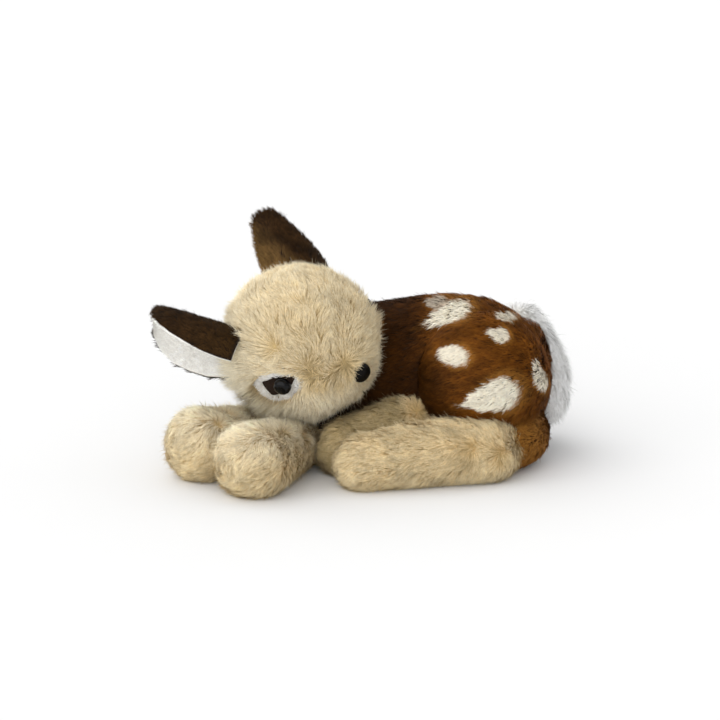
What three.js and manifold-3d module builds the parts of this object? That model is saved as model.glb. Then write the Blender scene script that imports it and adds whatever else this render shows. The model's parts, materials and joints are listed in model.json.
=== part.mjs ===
// A stuffed plush fawn that lies curled up, its chin on its forelegs and its head turned back to its flank.
// Millimetres, +X to the rump, +Y behind the back, +Z up; the origin is under the middle of the whole toy.
import * as THREE from "three";
import { mergeVertices } from "three/addons/utils/BufferGeometryUtils.js";
import Module from "manifold-3d";

const wasm = await Module();
wasm.setup();

// Clearances and cloth. A skin is the backing of the fur fabric with its pile pressed by a hand.
const seamGap = 0.3;
const seatGap = 1; // round the seats that the legs, neck, ears and tail turn in
const facetAllowance = 1.8; // for the flats of a round form that another one turns against
const skinThickness = 5;
const flatteningDepth = 0.5; // how far the cloth is pressed flat where it lies on the floor
const cutOverrun = 60; // how far every cutting shape runs past what it cuts
const hiddenFacetShare = 0.5; // facets that the stuffing has for each one of the skin over it
const stuffingSlack = 1.3; // keeps its corners clear of the flats of the skin

// Torso: one long form that bows away from the legs.
const torsoLength = 166;
const torsoBreadth = 94;
const torsoHeight = 111;
const torsoBow = 24;
const chestCapLength = 15;
const rumpCapLength = 18;
const bellyPanelRise = 9;
const pelletBagLength = 70;
const pelletBagBreadth = 38;
const pelletBagHeight = 16;

// Haunches: the upper one lies on the flank, the under one shows below it on the floor.
const haunchLength = 88;
const haunchDepth = 66;
const haunchHeight = 90;
const underHaunchLength = 57;
const underHaunchDepth = 72;
const underHaunchHeight = 46;

// Legs, from the seam to the middle of the paw.
const forelegLength = 78;
const forelegRadius = 24;
const hindLegLength = 87;
const hindLegRadius = 20.5;
const tuckedLegLength = 67;
const tuckedLegRadius = 21;
const tuckedLegRise = 10;

// Tail: a flat tuft that hangs down behind the rump.
const tailLength = 50;
const tailBreadth = 36;
const tailThickness = 23;
const tailRollRadius = 8;
const tailRollLength = 16;
const tailHeading = 37; // degrees, the way that it hangs out from the rump
const tailLift = 25; // degrees that it can be raised

// Head, in its own frame: +X out of the nose, +Y to the fawn's left, +Z out of the crown.
const headLength = 102;
const headBreadth = 97;
const headHeight = 102;
const muzzleReach = 2.5;
const muzzleSpread = 26; // degrees
const neckRadius = 24;
const headHeading = -48.8; // degrees, all three
const headPitch = 1.9;
const headRoll = 28.7;
const headLift = 25; // how far the head can be raised off the forelegs

// Eyes and nose: moulded buttons whose shanks run through the cloth into lock washers.
const eyeDiameter = 12.4;
const eyeHeight = 5;
const eyePatchLength = 29;
const eyePatchHeight = 15;
const eyePatchThickness = 1.2;
const eyeFieldLength = 45;
const eyeFieldHeight = 25;
const eyeFieldDrop = 2; // the short white plush lies this much lower than the long pile round it
const noseBreadth = 17;
const noseHeight = 15;
const noseReach = 6;
const shankDiameter = 3.4;
const shankLength = 13;
const washerDiameter = 15;
const washerThickness = 1.6;

// Ears: a furred back and a short plush lining, cupped, on a rolled base that is sewn to the head.
const earLength = 58;
const earBreadth = 58; // laid flat
const earBackThickness = 4.2;
const earLiningThickness = 2.4;
const earRimWidth = 3;
const earRollRadius = 5;
const earRollLength = 16;
const earRollSeat = 1; // how far the middle of the roll stands off the head
const earCup = 70; // degrees from the middle of the ear to its edge
const earSwing = 20; // degrees that an ear can be bent either way

const wideTurn = 24; // degrees; a piece that turns further is also cut clear halfway
const degrees = Math.PI / 180;
const up = new THREE.Vector3(0, 0, 1);

// A closed geometry as a solid. One that comes from three.js has its seams merged first.
function solidOf(geometry, matrix) {
  let plain = geometry.clone();
  if (plain.getAttribute("normal") || !plain.index) {
    plain.deleteAttribute("normal");
    plain.deleteAttribute("uv");
    plain = mergeVertices(plain);
  }
  if (matrix) plain.applyMatrix4(matrix);
  return new wasm.Manifold(
    new wasm.Mesh({
      numProp: 3,
      vertProperties: new Float32Array(plain.attributes.position.array),
      triVerts: new Uint32Array(plain.index.array),
    }),
  );
}

// The geometry of a solid, with its vertices shared.
function geometryOf(solid) {
  const mesh = solid.getMesh();
  return new THREE.BufferGeometry()
    .setAttribute("position", new THREE.BufferAttribute(new Float32Array(mesh.vertProperties), 3))
    .setIndex(new THREE.BufferAttribute(new Uint32Array(mesh.triVerts), 1));
}

// A solid carried into another frame.
function moved(solid, matrix) {
  return solidOf(geometryOf(solid), matrix);
}

function without(solid, ...cutters) {
  return cutters.reduce((left, cutter) => left.subtract(cutter), solid);
}

// The largest body of a solid, without the crumbs that a cut along a curved seam can leave.
function mainBody(solid) {
  return solid.decompose().reduce((most, body) => (body.volume() > most.volume() ? body : most));
}

// Stuffing, which nothing shows, has fewer facets than the skin over it.
function facets(count, grow) {
  return grow < -skinThickness ? Math.round(count * hiddenFacetShare) : count;
}

// The turn about an axis through a point, in degrees.
function turnAbout(pivot, axis, angle) {
  return new THREE.Matrix4()
    .makeTranslation(pivot)
    .multiply(new THREE.Matrix4().makeRotationAxis(axis, angle * degrees))
    .multiply(new THREE.Matrix4().makeTranslation(pivot.clone().negate()));
}

// What a turning piece is cut by, so that it stays clear of its neighbour at rest and turned.
function clearances(neighbour, pivot, axis, turn) {
  const angles = turn > wideTurn ? [0, turn / 2, turn] : [0, turn];
  return angles.map((angle) => moved(neighbour, turnAbout(pivot, axis, -angle)));
}

function ball(centre, radius) {
  return solidOf(
    new THREE.SphereGeometry(radius, 16, 10),
    new THREE.Matrix4().makeTranslation(centre),
  );
}

function ellipsoid(centre, length, depth, height, grow, around = facets(18, grow)) {
  const shape = new THREE.Matrix4()
    .makeScale(length / 2 + grow, depth / 2 + grow, height / 2 + grow)
    .setPosition(centre);
  return solidOf(new THREE.SphereGeometry(1, around, (2 / 3) * around), shape);
}

// A rounded roll that lies along an axis, such as the sewn base of an ear.
function roll(centre, axis, radius, length) {
  const lie = new THREE.Quaternion().setFromUnitVectors(new THREE.Vector3(0, 1, 0), axis);
  return solidOf(
    new THREE.CapsuleGeometry(radius, length, 3, 10),
    new THREE.Matrix4().makeRotationFromQuaternion(lie).setPosition(centre),
  );
}

// A closed surface over rings of points, drawn together in one point at each end.
function skinOver(rings, first, last) {
  const count = rings[0].length;
  const points = [first, ...rings.flat(), last];
  const faces = [];
  const at = (ring, side) => 1 + ring * count + (side % count);
  for (let side = 0; side < count; side++) {
    faces.push(0, at(0, side), at(0, side + 1));
    for (let ring = 0; ring + 1 < rings.length; ring++) {
      faces.push(at(ring, side), at(ring + 1, side + 1), at(ring, side + 1));
      faces.push(at(ring, side), at(ring + 1, side), at(ring + 1, side + 1));
    }
    faces.push(points.length - 1, at(rings.length - 1, side + 1), at(rings.length - 1, side));
  }
  return new THREE.BufferGeometry().setFromPoints(points).setIndex(faces);
}

// A stuffed form: ellipses that swell and taper along a smooth path, rounded off at both ends.
// Each station has its place, its half breadth and its half height; grow moves the whole surface out.
// The ellipses stand upright on a form that lies down, and square to the path on one that hangs.
function stuffedForm(stations, firstCap, lastCap, grow, sides, steps, hangs = false) {
  const path = new THREE.CatmullRomCurve3(stations.map((station) => station.at));
  const girth = new THREE.CatmullRomCurve3(
    stations.map((station) => new THREE.Vector3(station.halfBreadth, station.halfHeight, 0)),
  );
  const capSteps = 3;
  const headingAt = (share) => {
    const tangent = path.getTangent(share);
    return hangs ? tangent : tangent.setZ(0).normalize();
  };
  const ringAt = (share, shift, scale) => {
    const heading = headingAt(share);
    const aside = new THREE.Vector3().crossVectors(heading, up).normalize();
    const above = new THREE.Vector3().crossVectors(aside, heading);
    const centre = path.getPoint(share).addScaledVector(heading, shift);
    const { x: halfBreadth, y: halfHeight } = girth.getPoint(share);
    return Array.from({ length: sides }, (_, side) => {
      const angle = (2 * Math.PI * side) / sides;
      return centre
        .clone()
        .addScaledVector(aside, (halfBreadth + grow) * scale * Math.cos(angle))
        .addScaledVector(above, (halfHeight + grow) * scale * Math.sin(angle));
    });
  };
  const tipAt = (share, shift) => path.getPoint(share).addScaledVector(headingAt(share), shift);
  const rings = [];
  for (let step = 1; step < capSteps; step++) {
    const angle = (step / capSteps) * 90 * degrees;
    rings.push(ringAt(0, -(firstCap + grow) * Math.cos(angle), Math.sin(angle)));
  }
  for (let step = 0; step <= steps; step++) rings.push(ringAt(step / steps, 0, 1));
  for (let step = capSteps - 1; step > 0; step--) {
    const angle = (step / capSteps) * 90 * degrees;
    rings.push(ringAt(1, (lastCap + grow) * Math.cos(angle), Math.sin(angle)));
  }
  return solidOf(skinOver(rings, tipAt(0, -(firstCap + grow)), tipAt(1, lastCap + grow)));
}

// A thick sheet between two grids of points, each a list of rows; the second lies on the side that
// the first one's rows and columns turn away from.
function thickSheet(outer, inner) {
  const rows = outer.length;
  const columns = outer[0].length;
  const points = [...outer.flat(), ...inner.flat()];
  const faces = [];
  const front = (row, column) => row * columns + column;
  const back = (row, column) => rows * columns + row * columns + column;
  const wall = (a, b, c, d) => faces.push(a, b, c, a, c, d);
  for (let row = 0; row + 1 < rows; row++) {
    for (let column = 0; column + 1 < columns; column++) {
      wall(front(row, column), front(row, column + 1), front(row + 1, column + 1), front(row + 1, column));
      wall(back(row, column), back(row + 1, column), back(row + 1, column + 1), back(row, column + 1));
    }
    wall(front(row, 0), front(row + 1, 0), back(row + 1, 0), back(row, 0));
    wall(
      front(row, columns - 1),
      back(row, columns - 1),
      back(row + 1, columns - 1),
      front(row + 1, columns - 1),
    );
  }
  for (let column = 0; column + 1 < columns; column++) {
    wall(front(0, column), back(0, column), back(0, column + 1), front(0, column + 1));
    wall(
      front(rows - 1, column),
      front(rows - 1, column + 1),
      back(rows - 1, column + 1),
      back(rows - 1, column),
    );
  }
  return new THREE.BufferGeometry().setFromPoints(points).setIndex(faces);
}

// Two frames hold the whole toy: its own, and the head's, which is turned back over the flank.
const fawn = new THREE.Group();
const head = new THREE.Group();
fawn.add(head);

const finishes = {
  brownFur: new THREE.MeshStandardMaterial({ color: "#633712", roughness: 0.95, metalness: 0 }),
  beigeFur: new THREE.MeshStandardMaterial({ color: "#bfa673", roughness: 0.95, metalness: 0 }),
  creamFur: new THREE.MeshStandardMaterial({ color: "#cdba88", roughness: 0.95, metalness: 0 }),
  darkFur: new THREE.MeshStandardMaterial({ color: "#2b1a0d", roughness: 0.95, metalness: 0 }),
  whiteFur: new THREE.MeshStandardMaterial({ color: "#e8e6e0", roughness: 0.95, metalness: 0 }),
  stuffing: new THREE.MeshStandardMaterial({ color: "#f2f0ea", roughness: 1, metalness: 0 }),
  bagCloth: new THREE.MeshStandardMaterial({ color: "#d9d4c6", roughness: 0.9, metalness: 0 }),
  darkGloss: new THREE.MeshStandardMaterial({ color: "#141415", roughness: 0.15, metalness: 0 }),
  washerPlastic: new THREE.MeshStandardMaterial({ color: "#e6e3da", roughness: 0.5, metalness: 0 }),
};

// Adds a piece to a group as its own mesh, with a finish of its own.
function addPiece(group, name, solid, finish) {
  const mesh = new THREE.Mesh(geometryOf(mainBody(solid)), finishes[finish].clone());
  mesh.name = name;
  group.add(mesh);
}

// Everything under the floor, which cuts every form that lies on it flat.
const underFloor = solidOf(
  new THREE.BoxGeometry(torsoLength + 2 * cutOverrun, torsoLength + 2 * cutOverrun, cutOverrun),
  new THREE.Matrix4().makeTranslation(torsoLength / 2, 0, -cutOverrun / 2),
);

// Head form, in its own frame

const headHalves = [headLength / 2, headBreadth / 2, headHeight / 2];
const noseLineShares = [0.95, 0, -0.311];
const noseLine = new THREE.Vector3(...noseLineShares).normalize();

// How far the surface of the head lies from its middle, in a direction.
function headSurface(direction) {
  const [ahead, aside, above] = headHalves;
  const round = 1 / Math.hypot(direction.x / ahead, direction.y / aside, direction.z / above);
  const away = direction.angleTo(noseLine) / (muzzleSpread * degrees);
  return round + muzzleReach * Math.exp(-away * away);
}

function headBulk(grow, around = facets(18, grow), down = facets(12, grow)) {
  const geometry = new THREE.SphereGeometry(1, around, down);
  const places = geometry.getAttribute("position");
  const point = new THREE.Vector3();
  for (let index = 0; index < places.count; index++) {
    point.fromBufferAttribute(places, index).normalize();
    point.multiplyScalar(headSurface(point) + grow);
    places.setXYZ(index, point.x, point.y, point.z);
  }
  return solidOf(geometry);
}

// A frame on the surface of the head, in a direction: +Z out of the surface, +X towards ahead.
function frameOnHead(direction, ahead, outBy = 0) {
  const [length, breadth, height] = headHalves;
  const spot = direction.clone().normalize();
  const outward = new THREE.Vector3(
    spot.x / length ** 2,
    spot.y / breadth ** 2,
    spot.z / height ** 2,
  ).normalize();
  const aside = new THREE.Vector3().crossVectors(outward, ahead).normalize();
  const onward = new THREE.Vector3().crossVectors(aside, outward);
  const place = spot.multiplyScalar(headSurface(spot)).addScaledVector(outward, outBy);
  return new THREE.Matrix4().makeBasis(onward, aside, outward).setPosition(place);
}

// Torso form

// Shares along the torso, of its bow, of its breadth (half), and of its height (top and bottom).
const torsoStationShares = [
  [0, 0.33, 0.27, 0.43, 0.06],
  [0.12, 0.6, 0.33, 0.56, 0.04],
  [0.22, 0.82, 0.375, 0.76, 0.01],
  [0.31, 0.96, 0.405, 0.9, 0],
  [0.46, 1, 0.425, 0.95, 0],
  [0.655, 0.72, 0.465, 1, 0],
  [0.84, 0.3, 0.5, 0.985, 0.04],
  [1, 0.08, 0.4, 0.875, 0.17],
];
const torsoStations = torsoStationShares.map(([along, bow, half, top, bottom]) => ({
  at: new THREE.Vector3(
    along * torsoLength,
    bow * torsoBow,
    ((top + bottom) / 2) * torsoHeight - flatteningDepth,
  ),
  halfBreadth: half * torsoBreadth,
  halfHeight: ((top - bottom) / 2) * torsoHeight,
}));

// A place by the torso, in shares of its length, its breadth (from its straight axis) and its height.
function torsoPlace([along, aside, height]) {
  return new THREE.Vector3(along * torsoLength, aside * torsoBreadth, height * torsoHeight);
}

// Neck: a ball on the chest, which the head is sewn round and turns on.
const neckPlaceShares = [0.026, 0.155, 0.55];
const neckInHeadShares = [-0.55, 0, -0.59]; // of half the head's length, breadth and height
const neckPlace = torsoPlace(neckPlaceShares);
const neckInHead = new THREE.Vector3(...neckInHeadShares.map((share, axis) => share * headHalves[axis]));
head.rotation.set(headRoll * degrees, -headPitch * degrees, headHeading * degrees, "ZYX");
head.position.copy(neckPlace).sub(neckInHead.clone().applyEuler(head.rotation));
head.updateMatrix();
const liftAxis = new THREE.Vector3(0, -1, 0).applyEuler(head.rotation);
const neckBall = (grow) => ball(neckPlace, neckRadius + grow);

// Everywhere that the raised head reaches, a little fuller than the head to allow for its facets.
function headReach(grow) {
  const atRest = moved(headBulk(grow + facetAllowance, 16, 10), head.matrix);
  return [headLift / 2, headLift]
    .map((angle) => moved(atRest, turnAbout(neckPlace, liftAxis, angle)))
    .reduce((all, one) => all.add(one), atRest);
}

// Legs

// Shares along a leg, from its seam to the middle of its paw, and of its greatest radius.
const forelegShares = [
  [0, 0.67],
  [0.35, 0.76],
  [0.72, 0.89],
  [1, 1],
];
const hindLegShares = [
  [0, 1],
  [0.3, 1],
  [0.62, 0.96],
  [0.86, 0.89],
  [1, 0.85],
];
const tuckedLegShares = [
  [0, 0.9],
  [0.38, 1],
  [0.75, 0.95],
  [1, 0.86],
];

// Where each leg's seam is by the torso, which way it lies in degrees, its size, and how it swings.
const legs = {
  left_foreleg: {
    rootShares: [0.055, -0.19, 0],
    heading: -113.5,
    length: forelegLength,
    radius: forelegRadius,
    shares: forelegShares,
    swingAxis: up,
    swing: 8,
  },
  right_foreleg: {
    rootShares: [-0.065, 0.1, 0],
    heading: -127,
    length: forelegLength,
    radius: forelegRadius,
    shares: forelegShares,
    neighbour: "left_foreleg",
    swingAxis: up.clone().negate(),
    swing: 24,
  },
  left_hind_leg: {
    rootShares: [0.838, -0.56, 0],
    heading: -166,
    length: hindLegLength,
    radius: hindLegRadius,
    shares: hindLegShares,
    swingAxis: up,
    swing: 35,
  },
  right_hind_leg: {
    rootShares: [0.62, -0.125, 0],
    heading: -154,
    length: tuckedLegLength,
    radius: tuckedLegRadius,
    shares: tuckedLegShares,
    neighbour: "left_hind_leg",
    rise: tuckedLegRise,
    swing: 9,
  },
};
for (const leg of Object.values(legs)) {
  const ahead = new THREE.Vector3(Math.cos(leg.heading * degrees), Math.sin(leg.heading * degrees), 0);
  leg.stations = leg.shares.map(([along, thick]) => {
    const at = torsoPlace(leg.rootShares).addScaledVector(ahead, along * leg.length);
    at.z = thick * leg.radius - flatteningDepth + (leg.rise ?? 0) * (1 - along) ** 2;
    return { at, halfBreadth: thick * leg.radius, halfHeight: thick * leg.radius };
  });
  leg.pivot = leg.stations[0].at;
  leg.seatRadius = leg.stations[0].halfBreadth;
  leg.swingAxis ??= new THREE.Vector3().crossVectors(ahead, up); // this leg is lifted, not swung
}

function legBulk(leg, grow, rootReach = 0) {
  const pawCapShare = 0.85;
  return stuffedForm(
    leg.stations,
    leg.seatRadius + rootReach,
    pawCapShare * leg.radius,
    grow,
    facets(12, grow),
    facets(6, grow),
  );
}

// The round seats that the legs turn in, cut from whatever carries them.
function legSeats(grow) {
  return Object.values(legs).map((leg) => ball(leg.pivot, leg.seatRadius + grow));
}

// Tail

const tailOut = new THREE.Vector3(Math.cos(tailHeading * degrees), Math.sin(tailHeading * degrees), 0);
const tailAside = new THREE.Vector3().crossVectors(up, tailOut);
const tailPlaceShares = [0.985, 0.245, 0.775];
const tailPivot = torsoPlace(tailPlaceShares);
const tailLiftAxis = tailAside.clone().negate();
// Shares out from and down the tail, of its length, then of its breadth and its thickness.
const tailStationShares = [
  [0.04, 0, 0.8, 0.8],
  [0.22, 0.35, 1, 0.95],
  [0.36, 0.72, 1, 1],
  [0.38, 1, 0.92, 0.95],
];

function tailForm(grow) {
  const tipCapShare = 0.7;
  const stations = tailStationShares.map(([out, down, broad, thick]) => ({
    at: tailPivot
      .clone()
      .addScaledVector(tailOut, out * tailLength)
      .addScaledVector(up, -down * tailLength),
    halfBreadth: (broad * tailBreadth) / 2,
    halfHeight: (thick * tailThickness) / 2,
  }));
  return stuffedForm(stations, tailThickness / 2, tailThickness * tipCapShare, grow, 12, 5, true);
}

function tailRoll(grow) {
  return roll(tailPivot, tailAside, tailRollRadius + grow, tailRollLength);
}

// Torso, haunches and belly panel. The forms take how far their surface is moved out, so that a skin,
// its cavity and its stuffing all follow the same seams.

function torsoBulk(grow) {
  const sides = facets(20, grow);
  const steps = facets(10, grow);
  return stuffedForm(torsoStations, chestCapLength, rumpCapLength, grow, sides, steps);
}

// The torso hollowed for the head, with the neck on it.
const torsoForm = (grow) => torsoBulk(grow).subtract(headReach(seamGap - grow)).add(neckBall(grow));
const torsoSeats = [...legSeats(seatGap), tailRoll(seatGap)];
const torsoSkin = without(torsoForm(0), torsoForm(-skinThickness), ...torsoSeats, underFloor);
const snugInset = -skinThickness - seamGap;
const stuffingInset = snugInset - stuffingSlack;

const bellyPanelShares = [0.2, 0.76]; // the stretch of the torso's length that the panel closes
const [panelStart, panelEnd] = bellyPanelShares.map((share) => share * torsoLength);
const panelCutter = (grow) =>
  solidOf(
    new THREE.BoxGeometry(panelEnd - panelStart + 2 * grow, torsoBreadth, 2 * (bellyPanelRise + grow)),
    new THREE.Matrix4().makeTranslation((panelStart + panelEnd) / 2, torsoBow, 0),
  );
addPiece(fawn, "torso_skin", torsoSkin.subtract(panelCutter(seamGap)), "brownFur");
addPiece(fawn, "belly_panel", torsoSkin.intersect(panelCutter(0)), "beigeFur");

const pelletBagShare = 0.48; // along the torso
const pelletBag = (grow) =>
  ellipsoid(
    new THREE.Vector3(
      pelletBagShare * torsoLength,
      torsoBow,
      skinThickness + seamGap + pelletBagHeight / 2,
    ),
    pelletBagLength,
    pelletBagBreadth,
    pelletBagHeight,
    grow,
    12,
  );
const torsoInside = without(torsoForm(stuffingInset), ...torsoSeats);
addPiece(fawn, "pellet_bag", pelletBag(0).intersect(torsoInside), "bagCloth");
addPiece(fawn, "torso_stuffing", torsoInside.subtract(pelletBag(seamGap)), "stuffing");

const haunchPlaceShares = [0.83, -0.287, 0.58];
const underHaunchPlaceShares = [0.93, -0.19, 0.2];
const haunchBulk = (grow) =>
  ellipsoid(torsoPlace(haunchPlaceShares), haunchLength, haunchDepth, haunchHeight, grow);
const underHaunchBulk = (grow) =>
  ellipsoid(
    torsoPlace(underHaunchPlaceShares),
    underHaunchLength,
    underHaunchDepth,
    underHaunchHeight,
    grow,
  );
const haunchSeats = [torsoBulk(seamGap), ...legSeats(seatGap)];
const haunch = (grow) => without(haunchBulk(grow), ...haunchSeats);
const underHaunch = (grow) =>
  without(underHaunchBulk(grow), ...haunchSeats, haunchBulk(seamGap), underFloor);
addPiece(fawn, "left_haunch_skin", haunch(0).subtract(haunchBulk(-skinThickness)), "brownFur");
addPiece(fawn, "left_haunch_stuffing", haunch(stuffingInset), "stuffing");
addPiece(
  fawn,
  "right_haunch_skin",
  underHaunch(0).subtract(underHaunchBulk(-skinThickness)),
  "brownFur",
);
addPiece(fawn, "right_haunch_stuffing", underHaunch(stuffingInset), "stuffing");

// Leg skins and their stuffing

const legCarriers = torsoBulk(seamGap).add(haunchBulk(seamGap)).add(underHaunchBulk(seamGap));

function legForm(leg, grow) {
  const carrier = legCarriers.subtract(ball(leg.pivot, leg.seatRadius + seatGap - seamGap));
  const clear = clearances(carrier, leg.pivot, leg.swingAxis, leg.swing);
  return without(legBulk(leg, grow), ...clear, underFloor);
}

for (const [name, leg] of Object.entries(legs)) {
  const cavity = legBulk(leg, -skinThickness, 2 * skinThickness);
  const beside = leg.neighbour ? [legBulk(legs[leg.neighbour], seamGap)] : [];
  addPiece(fawn, name + "_skin", without(legForm(leg, 0), cavity, ...beside), "beigeFur");
  addPiece(fawn, name + "_stuffing", legForm(leg, snugInset), "stuffing");
}

// Tail skin and its light stuffing

const tailSeam = torsoBulk(seatGap).add(haunchBulk(seatGap)).subtract(tailRoll(seatGap - seamGap));
const tailClear = clearances(tailSeam, tailPivot, tailLiftAxis, tailLift);
const tailCavity = tailForm(-skinThickness).add(
  ball(tailPivot.clone().addScaledVector(tailOut, -tailRollRadius), tailRollRadius - seatGap),
);
const tailOutside = tailForm(0).add(tailRoll(0));
addPiece(fawn, "tail_skin", without(tailOutside, ...tailClear, tailCavity), "whiteFur");
addPiece(fawn, "tail_stuffing", without(tailForm(stuffingInset), ...tailClear), "stuffing");

// Head: skin, stuffing, eyes and nose, all in the head's frame

const toHead = head.matrix.clone().invert();
const neckSeat = moved(neckBall(seatGap), toHead);

// A flat outline of rings drawn up into a dome; the outline gives a point for an angle.
function domeOn(outline, reach) {
  const sides = 20;
  const domeSteps = 4;
  const rings = [];
  for (let step = 0; step < domeSteps; step++) {
    const rise = (step / domeSteps) * 90 * degrees;
    const ring = Array.from({ length: sides }, (_, side) => {
      const point = outline((-2 * Math.PI * side) / sides).multiplyScalar(Math.cos(rise));
      return point.setZ(reach * Math.sin(rise));
    });
    rings.push(ring);
  }
  return skinOver(rings, new THREE.Vector3(), new THREE.Vector3(0, 0, reach));
}

// A round post below a button, with its top inside the button.
function lathe(points) {
  const geometry = new THREE.LatheGeometry(
    points.map(([radius, height]) => new THREE.Vector2(radius, height)),
    12,
  );
  return geometry.rotateX(90 * degrees);
}

// A button is a dome and a shank in one moulding; its washer grips the shank behind the skin.
const washerTop = -skinThickness - washerDiameter ** 2 / (4 * headBreadth) - 2 * seamGap;
const shankFoot = -shankLength;
function shank(grow, top) {
  const radius = shankDiameter / 2 + grow;
  const foot = shankFoot - grow;
  return lathe([
    [0, foot],
    [radius, foot],
    [radius, top],
    [0, top],
  ]);
}
function disc(grow) {
  const top = washerTop + grow;
  const foot = washerTop - washerThickness - grow;
  const rim = washerDiameter / 2 + grow;
  return lathe([
    [0, foot],
    [rim, foot],
    [rim, top],
    [0, top],
  ]);
}

// Adds a button and its washer in a frame on the head; gives what the stuffing makes room for.
function addButton(name, frame, dome, seat, sink = 0) {
  const place = new THREE.Group();
  place.applyMatrix4(frame);
  head.add(place);
  const lifted = new THREE.Matrix4().makeTranslation(0, 0, seat);
  const button = solidOf(dome, lifted).add(solidOf(shank(0, seat + eyeHeight / 2)));
  addPiece(place, name, button, "darkGloss");
  const sunk = new THREE.Matrix4().makeTranslation(0, 0, -sink);
  const room = solidOf(shank(seamGap, 0));
  addPiece(place, name + "_washer", solidOf(disc(0), sunk).subtract(room), "washerPlastic");
  return moved(solidOf(disc(seamGap), sunk).add(room), frame);
}

const eyeLineShares = [0.49, 0.939, 0]; // the left eye's direction; the right one mirrors it
const eyeTilt = { left: -36, right: 36 }; // degrees that the almond is turned, its front corner up
const eyeFieldSet = -0.167; // share of its length that the field reaches further back than the eye

// The almond outline of the dark patch: a wide back corner and a narrow front one.
function almond(length, height) {
  const shape = new THREE.Shape();
  shape.moveTo(length * 0.42, height * 0.06);
  shape.quadraticCurveTo(length * 0.08, height * 0.62, -length * 0.34, height * 0.5);
  shape.lineTo(-length * 0.56, height * 0.42);
  shape.quadraticCurveTo(-length * 0.64, height * 0.1, -length * 0.58, -height * 0.42);
  shape.quadraticCurveTo(-length * 0.04, -height * 0.62, length * 0.42, height * 0.06);
  return shape;
}

// The oval outline of the white plush round an eye.
function eyeOval(grow) {
  return new THREE.Shape().absellipse(
    eyeFieldSet * eyeFieldLength,
    0,
    eyeFieldLength / 2 + grow,
    eyeFieldHeight / 2 + grow,
    0,
    2 * Math.PI,
  );
}

function prism(shape, low, high) {
  const curveSegments = 4;
  const geometry = new THREE.ExtrudeGeometry(shape, {
    depth: high - low,
    bevelEnabled: false,
    curveSegments,
  });
  return geometry.translate(0, 0, low);
}

const buttonRoom = [];
const headInner = headBulk(-skinThickness);
const fieldHoles = [];
for (const [side, mirror] of [
  ["left", 1],
  ["right", -1],
]) {
  const [ahead, aside, above] = eyeLineShares;
  const line = new THREE.Vector3(ahead, aside * mirror, above);
  const frame = frameOnHead(line, noseLine).multiply(
    new THREE.Matrix4().makeRotationZ(eyeTilt[side] * degrees),
  );
  const deep = -3 * skinThickness;
  const high = 2 * skinThickness;
  const field = solidOf(prism(eyeOval(0), deep, high), frame);
  fieldHoles.push(solidOf(prism(eyeOval(seamGap), deep, high), frame));
  const shankHole = solidOf(shank(seamGap, high), frame);
  const fieldSkin = without(headBulk(-eyeFieldDrop).intersect(field), headInner, shankHole);
  addPiece(head, side + "_eye_field", fieldSkin, "whiteFur");
  const patchFoot = -eyeFieldDrop + seamGap;
  const patch = without(
    headBulk(patchFoot + eyePatchThickness).intersect(
      solidOf(prism(almond(eyePatchLength, eyePatchHeight), deep, high), frame),
    ),
    headBulk(patchFoot),
    shankHole,
  );
  addPiece(head, side + "_eye_patch", patch, "darkFur");
  const circle = (angle) =>
    new THREE.Vector3(Math.cos(angle), Math.sin(angle), 0).multiplyScalar(eyeDiameter / 2);
  const seat = patchFoot + eyePatchThickness + seamGap;
  buttonRoom.push(addButton(side + "_eye", frame, domeOn(circle, eyeHeight), seat));
}

const noseFrame = frameOnHead(noseLine, new THREE.Vector3(0, 1, 0));
const noseTaper = 0.16; // how much wider the nose is at its top than in its middle
const noseOutline = (angle) =>
  new THREE.Vector3(
    (noseBreadth / 2) * Math.cos(angle) * (1 - noseTaper * Math.sin(angle)),
    (noseHeight / 2) * Math.sin(angle),
    0,
  );
buttonRoom.push(addButton("nose", noseFrame, domeOn(noseOutline, noseReach), seamGap, muzzleReach));
const noseHole = solidOf(shank(seamGap, skinThickness), noseFrame);

// Ears: each on a hinge line along its rolled base

const earLineShares = [-0.46, 0.71, 0.53]; // the left ear's place, mirrored for the right one
const earLeanShares = [-0.8, 0.36, 0.49]; // the way that the left ear points
const earTurn = { left: -95, right: -15 }; // degrees that the lining turns from facing out and ahead
// Shares along the ear and of its half breadth.
const earOutlineShares = [
  [0, 0.92],
  [0.12, 0.97],
  [0.3, 1],
  [0.48, 0.92],
  [0.66, 0.77],
  [0.82, 0.6],
  [0.94, 0.44],
  [1, 0.28],
];
const earCupShares = [1.25, 1.2, 1.09, 0.99, 0.87, 0.76, 0.64, 0.53];

// A cupped leaf, from lowest to highest outset of its surface; trim draws its edges in.
function earLeaf(low, high, trim) {
  const columns = 7;
  const surface = (outset) =>
    earOutlineShares.map(([along, broad], row) => {
      const half = Math.max((broad * earBreadth) / 2 - trim, trim / 4);
      const edgeAngle = earCup * degrees * earCupShares[row];
      const bend = half / edgeAngle;
      const reach = THREE.MathUtils.mapLinear(along * earLength, 0, earLength, trim, earLength - trim);
      return Array.from({ length: columns }, (_, column) => {
        const angle = edgeAngle * (-1 + (2 * column) / (columns - 1));
        return new THREE.Vector3(
          (bend - outset) * Math.sin(angle),
          reach,
          bend - (bend - outset) * Math.cos(angle),
        );
      });
    });
  return thickSheet(surface(high), surface(low));
}

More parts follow.
